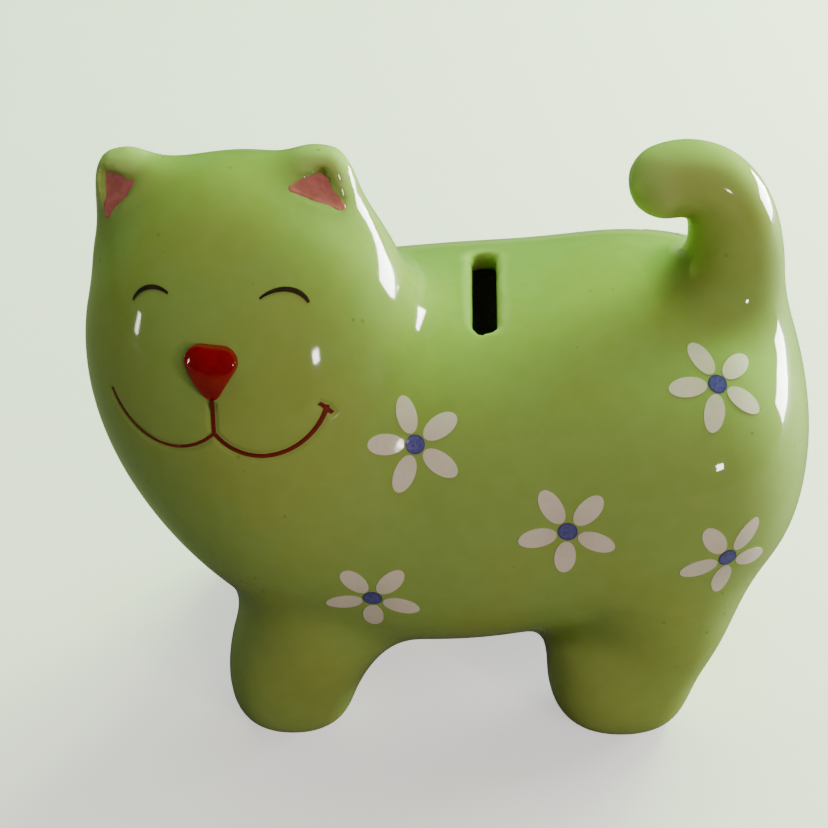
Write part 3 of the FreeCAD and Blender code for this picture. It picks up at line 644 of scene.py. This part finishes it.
class BANK_OT_glazed_shell(bpy.types.Operator):
    """Cover the casting in one glaze skin with softened rims, and engrave the mouth"""

    bl_idname = "bank.glazed_shell"
    bl_label = "Glazed shell"

    def execute(self, context):
        bank = settings()
        shell = merged_copy("ceramic_shell", "glazed_shell")
        tree, inner = inner_wall_tree(shell)
        filler = merged_copy("mouth_line", "mouth_filler")
        shell.select_set(True)
        bpy.context.view_layer.objects.active = shell
        bpy.ops.object.join()
        apply_modifier(shell, "REMESH", mode="VOXEL", voxel_size=bank.skin_cell, adaptivity=0.0)

        points = point_table(shell)
        away = ease(near_ears(points, EAR_SOFT_TO), EAR_SOFT_FROM, EAR_SOFT_TO)
        soften = weigh(shell, "soften", away * (1.0 - LEAST_SMOOTHING) + LEAST_SMOOTHING)
        apply_modifier(shell, "SMOOTH", factor=0.5, iterations=10, vertex_group=soften)

        # Stored for the glaze colour: its hollows are darkened, partly as pooled glaze and partly as
        # painted shade.
        keep_values(shell, "glaze_pool_and_crease_shade", pooling_and_crease_shade(shell))
        choose_faces(shell, is_inner(tree, inner, face_table(shell)))
        start_editing(shell)
        bpy.ops.mesh.decimate(ratio=INNER_WALL_SHARE_KEPT)
        stop_editing()

        self.refine(shell)
        points = point_table(shell)
        mouth = near_node(points, "mouth_line", MOUTH_BAND)
        lips = weigh(shell, "lips", ease(mouth, MOUTH_BAND, MOUTH_BAND * 0.7))
        apply_modifier(shell, "SMOOTH", factor=0.5, iterations=8, vertex_group=lips)
        groove = weigh(shell, "groove", ease(mouth, GROOVE_FAR, GROOVE_NEAR))
        apply_modifier(
            shell, "DISPLACE", strength=-bank.groove_depth, mid_level=0.0, vertex_group=groove)

        points = point_table(shell)
        points[points[:, 2] < SOLE_FLAT_BELOW, 2] = 0.0
        shell.data.vertices.foreach_set("co", points.ravel())
        shell.data.update()
        keep_values(shell, "inner_wall", is_inner(tree, inner, points))
        if triangles(shell) >= TRIANGLE_LIMIT:
            raise RuntimeError("the glaze skin has %d triangles" % triangles(shell))
        finish_piece(shell, "bank", glaze_finish(), "green_glaze", "ceramic_shell")
        return {"FINISHED"}

    def refine(self, shell):
        """Finer faces round the ears, the slot and the mouth."""
        low, high = OPENINGS["coin_slot"]
        rim_low = (low[0], low[1], high[2] - SLOT_RIM_DEPTH)
        centres = face_table(shell)
        slot_rim = near_box(centres, rim_low, high, SLOT_BAND)
        subdivide_near(shell, (near_ears(centres, EAR_BAND) < EAR_BAND) | slot_rim, 1)
        points = point_table(shell)
        rims = near_ears(points, EAR_BAND) < EAR_BAND
        rims |= near_box(points, rim_low, high, SLOT_BAND)
        rim_group = weigh(shell, "rims", rims.astype(float))
        apply_modifier(shell, "SMOOTH", factor=0.5, iterations=5, vertex_group=rim_group)
        centres = face_table(shell)
        subdivide_near(shell, near_node(centres, "mouth_line", MOUTH_BAND) < MOUTH_BAND, 2)


def softened_copy(node, name, cell, rounds, swell=0.0, ledge=False):
    """A CAD node's shape with its edges rounded over, swollen a little and given a ledge if asked."""
    piece = merged_copy(node, name)
    if ledge:
        add_ledge(piece)
    apply_modifier(piece, "REMESH", mode="VOXEL", voxel_size=cell, adaptivity=0.0)
    if swell:
        apply_modifier(piece, "DISPLACE", strength=swell, mid_level=0.0)
    apply_modifier(piece, "SMOOTH", factor=0.5, iterations=rounds)
    return piece


def add_ledge(piece):
    """A round bead along the lower edge, from the piece's left end to its foot."""
    points = point_table(piece)
    left = Vector(points[points[:, 0].argmin()])
    foot = Vector(points[points[:, 2].argmin()])
    run = foot - left
    bpy.ops.object.select_all(action="DESELECT")
    bpy.ops.mesh.primitive_uv_sphere_add(segments=24, ring_count=16, radius=LEDGE_RADIUS)
    bead = bpy.context.object
    for vertex in bead.data.vertices:
        vertex.co.z += math.copysign(run.length / 2.0 - LEDGE_RADIUS, vertex.co.z)
    turn = run.to_track_quat("Z", "Y").to_matrix().to_4x4()
    bead.matrix_world = Matrix.Translation((left + foot) / 2.0) @ turn
    bpy.ops.object.transform_apply(location=True, rotation=True, scale=True)
    piece.select_set(True)
    bpy.context.view_layer.objects.active = piece
    bpy.ops.object.join()


class BANK_OT_nose(bpy.types.Operator):
    """Model the nose as a rounded dome of red enamel"""

    bl_idname = "bank.nose"
    bl_label = "Nose"

    def execute(self, context):
        bank = settings()
        nose = softened_copy("nose", "nose_dome", bank.nose_cell, 12, NOSE_SWELL)
        red = enamel_finish("red nose enamel", bank.nose_red, DEEP_NOSE_RED, 0.06, 0.04)
        finish_piece(nose, "bank", red, "nose_red", "nose")
        return {"FINISHED"}


class BANK_OT_mouth(bpy.types.Operator):
    """Model the bead of enamel that lies in the engraved mouth line"""

    bl_idname = "bank.mouth"
    bl_label = "Mouth"

    def execute(self, context):
        bank = settings()
        mouth = softened_copy("mouth_line", "mouth_enamel", bank.enamel_cell, 6)
        points = point_table(mouth)
        to_nose = ease(near_node(points, "nose", STEM_REACH), STEM_REACH, STEM_FULL_PULL)
        points += to_nose[:, None] * np.array(STEM_PULL)
        mouth.data.vertices.foreach_set("co", points.ravel())
        red = enamel_finish("dark red mouth enamel", bank.mouth_red, DEEP_MOUTH_RED, 0.12, 0.03)
        finish_piece(mouth, "bank", red, "mouth_red", "mouth_line")
        return {"FINISHED"}


class BANK_OT_ears(bpy.types.Operator):
    """Model the pink linings of the two ears"""

    bl_idname = "bank.ears"
    bl_label = "Ear linings"

    def execute(self, context):
        bank = settings()
        pink = enamel_finish("dusty pink ear colour", bank.ear_pink, DEEP_EAR_PINK, 0.10, 0.06)
        for side in ("left", "right"):
            lining = softened_copy(
                "ear_lining_" + side, "ear_pink_" + side, bank.enamel_cell, 8, LINING_SWELL,
                side == "right")
            finish_piece(lining, "bank", pink, "ear_pink", "ear_lining_" + side)
        return {"FINISHED"}


class BANK_OT_eyes(bpy.types.Operator):
    """Paint the two closed eyes with brown black strokes"""

    bl_idname = "bank.eyes"
    bl_label = "Eyes"

    def execute(self, context):
        black = enamel_finish("brown black eye stroke", settings().eye_black, BROWN_STROKE, 0.12, 0.02)
        for side in ("left", "right"):
            dress_node("eye_line_" + side, black)
        return {"FINISHED"}


def dress_node(node, material):
    """Put a finish on a CAD node that stays as it is."""
    mesh = NODES[node].data
    mesh.materials.clear()
    mesh.materials.append(material)


class BANK_OT_flowers(bpy.types.Operator):
    """Print the flowers on both flanks"""

    bl_idname = "bank.flowers"
    bl_label = "Flowers"

    def execute(self, context):
        for number in range(1, FLOWER_COUNT + 1):
            low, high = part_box("flower_%d_centre" % number)
            centre = (low + high) / 2.0
            dress_node("flower_%d_petals" % number, petal_finish(number, centre))
            dress_node("flower_%d_centre" % number, centre_finish(number, centre))
        return {"FINISHED"}


class BANK_OT_stopper(bpy.types.Operator):
    """Model the soft stopper that closes the hole under the belly"""

    bl_idname = "bank.stopper"
    bl_label = "Stopper"

    def execute(self, context):
        low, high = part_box("stopper")
        plug = self.turned_plug(low, high)
        tab = self.pull_tab(low, high)
        apply_modifier(plug, "BOOLEAN", operation="UNION", object=tab, solver="EXACT")
        bpy.data.objects.remove(tab)
        finish_piece(plug, "stopper", stopper_finish(), "stopper_pvc", "stopper")
        bpy.ops.object.shade_smooth_by_angle(angle=SHARP_ANGLE)
        return {"FINISHED"}

    def turned_plug(self, low, high):
        """The flange and the hollow plug, pulled ring by ring from a small disc."""
        centre = (low + high) / 2.0
        flange = (high.x - low.x) / 2.0
        bottom = high.z - STOPPER_HEIGHT
        seat = bottom + FLANGE_THICKNESS
        bore = flange - FLANGE_OVERHANG
        radius = flange * DISC_SHARE
        level = bottom + 0.25 * MM
        underside = (
            (flange * 0.55, level), (flange * 0.60, bottom + 0.45 * MM),
            (flange * 0.66, level), (flange * 0.72, bottom),
        )
        rim = (
            (flange - 0.9 * MM, bottom), (flange - 0.3 * MM, level), (flange, bottom + 0.8 * MM),
            (flange, seat - 0.5 * MM), (flange - 0.35 * MM, seat - 0.08 * MM),
            (flange - 0.9 * MM, seat),
        )
        plug_wall = (
            (bore + 0.25 * MM, seat), (bore, seat + 0.4 * MM), (bore, seat + 4.2 * MM),
            (bore + 0.03 * MM, seat + 5.0 * MM), (bore, seat + 6.6 * MM),
            (bore - 0.25 * MM, seat + 7.4 * MM), (bore - 1.2 * MM, high.z - 0.2 * MM),
            (bore - 1.6 * MM, high.z),
        )
        hollow = (
            (bore - 2.5 * MM, high.z - 0.2 * MM), (bore - 1.9 * MM, high.z - 4.0 * MM),
            (bore - 1.9 * MM, seat + 0.9 * MM), (bore - 2.9 * MM, seat),
            (bore * 0.5, seat - 0.05 * MM),
        )
        bpy.ops.object.select_all(action="DESELECT")
        bpy.ops.mesh.primitive_circle_add(
            vertices=RING_SIDES, radius=radius, fill_type="NGON", location=(centre.x, centre.y, level))
        plug = bpy.context.object
        plug.name = "soft_stopper"
        bpy.ops.object.mode_set(mode="EDIT")
        bpy.ops.mesh.select_mode(type="EDGE")
        bpy.ops.mesh.select_all(action="DESELECT")
        bpy.ops.mesh.select_non_manifold()
        for next_radius, next_level in underside + rim + plug_wall + hollow:
            bpy.ops.mesh.extrude_edges_move()
            bpy.ops.transform.resize(value=(next_radius / radius, next_radius / radius, 1.0))
            bpy.ops.transform.translate(value=(0.0, 0.0, next_level - level))
            radius, level = next_radius, next_level
        bpy.ops.mesh.edge_face_add()
        bpy.ops.mesh.select_all(action="SELECT")
        bpy.ops.mesh.normals_make_consistent(inside=False)
        stop_editing()
        bpy.ops.object.transform_apply(location=True, rotation=True, scale=True)
        return plug

    def pull_tab(self, low, high):
        """A flat tongue under the flange, with round lower corners and softened edges."""
        centre = (low + high) / 2.0
        top = high.z - STOPPER_HEIGHT + TAB_OVERLAP
        bpy.ops.object.select_all(action="DESELECT")
        bpy.ops.mesh.primitive_cube_add(
            size=1.0, location=(centre.x, centre.y, (low.z + top) / 2.0),
            scale=(TAB_WIDTH, TAB_THICKNESS, top - low.z))
        tab = bpy.context.object
        bpy.ops.object.transform_apply(location=True, rotation=True, scale=True)
        corner_edges = np.array([
            abs(edge_vector(tab.data, edge).y) > MM and edge_low(tab.data, edge) < low.z + 0.1 * MM
            for edge in tab.data.edges])
        self.bevel_edges(tab, corner_edges, TAB_CORNER, TAB_CORNER_STEPS)
        self.bevel_edges(tab, np.ones(len(tab.data.edges), bool), TAB_EDGE, TAB_EDGE_STEPS)
        return tab

    def bevel_edges(self, piece, chosen, width, segments):
        piece.data.vertices.foreach_set("select", np.zeros(len(piece.data.vertices), bool))
        piece.data.polygons.foreach_set("select", np.zeros(len(piece.data.polygons), bool))
        piece.data.edges.foreach_set("select", chosen)
        select_only(piece)
        bpy.ops.object.mode_set(mode="EDIT")
        bpy.ops.mesh.select_mode(type="EDGE")
        stop_editing()
        piece.data.edges.foreach_set("select", chosen)
        bpy.ops.object.mode_set(mode="EDIT")
        bpy.ops.mesh.bevel(offset=width, segments=segments, affect="EDGES")
        stop_editing()


def edge_vector(mesh, edge):
    a, b = edge.vertices
    return mesh.vertices[b].co - mesh.vertices[a].co


def edge_low(mesh, edge):
    return max(mesh.vertices[n].co.z for n in edge.vertices)


# ------------------------------------------------------------------ stage
def aim(item, place, target):
    item.location = place
    item.rotation_euler = (target - place).to_track_quat("-Z", "Y").to_euler()


def soft_light(name, direction, distance, width, height, power, colour, mirrored):
    """A flat lamp that faces the bank's middle."""
    lamp = bpy.data.lights.new(name, "AREA")
    lamp.shape = "RECTANGLE"
    lamp.size = width
    lamp.size_y = height
    lamp.energy = power
    lamp.color = colour
    item = bpy.data.objects.new(name, lamp)
    bpy.context.scene.collection.objects.link(item)
    item.visible_glossy = mirrored
    aim(item, CAMERA_TARGET + Vector(direction).normalized() * distance, CAMERA_TARGET)


class BANK_OT_stage(bpy.types.Operator):
    """Set up the floor, the soft lights and the camera"""

    bl_idname = "bank.stage"
    bl_label = "Stage"

    def execute(self, context):
        scene = bpy.context.scene
        bpy.ops.object.select_all(action="DESELECT")
        bpy.ops.mesh.primitive_plane_add(size=FLOOR_SIDE, location=(0.0, 0.0, 0.0))
        floor = bpy.context.object
        floor.name = "pale_floor"
        bpy.ops.object.transform_apply(location=True, rotation=True, scale=True)
        material, tree, shader, place = new_finish(
            "pale matt floor", Roughness=0.9, Emission_Strength=FLOOR_GLOW)
        pale = mix_colour(tree, noise(tree, place, 40.0, 3.0), *FLOOR_PALE)
        seen = tree.nodes.new("ShaderNodeLightPath").outputs["Is Camera Ray"]
        join(tree, mix_colour(tree, seen, FLOOR_TO_OTHER_RAYS, pale), shader.inputs["Base Color"])
        join(tree, mix_colour(tree, seen, BLACK, pale), shader.inputs["Emission Color"])
        floor.data.materials.append(material)

        world = bpy.data.worlds.new("studio air")
        world.use_nodes = True
        air = world.node_tree.nodes["Background"]
        air.inputs["Color"].default_value = WHITE
        air.inputs["Strength"].default_value = AIR_STRENGTH
        scene.world = world
        for lamp in LAMPS:
            soft_light(*lamp)

        back = Vector((math.sin(CAMERA_AZIMUTH) * math.cos(CAMERA_ELEVATION),
                       -math.cos(CAMERA_AZIMUTH) * math.cos(CAMERA_ELEVATION),
                       math.sin(CAMERA_ELEVATION)))
        level = Vector((math.cos(CAMERA_AZIMUTH), math.sin(CAMERA_AZIMUTH), 0.0))
        right = level * math.cos(CAMERA_ROLL) + back.cross(level) * math.sin(CAMERA_ROLL)
        upward = back.cross(right)
        camera = bpy.data.cameras.new("camera")
        camera.lens = CAMERA_LENS
        item = bpy.data.objects.new("camera", camera)
        scene.collection.objects.link(item)
        turn = Matrix((right, upward, back)).transposed().to_4x4()
        item.matrix_world = Matrix.Translation(CAMERA_TARGET + back * CAMERA_DISTANCE) @ turn
        scene.camera = item
        return {"FINISHED"}


class BANK_PT_panel(bpy.types.Panel):
    """Lists the steps that dress the bank"""

    bl_label = "Cat bank"
    bl_idname = "BANK_PT_panel"
    bl_space_type = "VIEW_3D"
    bl_region_type = "UI"
    bl_category = "Cat bank"

    def draw(self, context):
        for step in STEPS:
            self.layout.operator(step.bl_idname)
        for name in CatBankSettings.__annotations__:
            self.layout.prop(context.scene.cat_bank, name)


STEPS = (
    BANK_OT_stage,
    BANK_OT_glazed_shell,
    BANK_OT_nose,
    BANK_OT_mouth,
    BANK_OT_ears,
    BANK_OT_eyes,
    BANK_OT_flowers,
    BANK_OT_stopper,
)


def register():
    for item in (CatBankSettings,) + STEPS + (BANK_PT_panel,):
        bpy.utils.register_class(item)
    bpy.types.Scene.cat_bank = bpy.props.PointerProperty(type=CatBankSettings)


def unregister():
    del bpy.types.Scene.cat_bank
    for item in reversed((CatBankSettings,) + STEPS + (BANK_PT_panel,)):
        bpy.utils.unregister_class(item)


def main():
    register()
    kiln_mottle_group()
    ripple_group()
    speck_group()
    for step in STEPS:
        area, name = step.bl_idname.split(".")
        getattr(getattr(bpy.ops, area), name)()


if __name__ == "__main__":
    main()
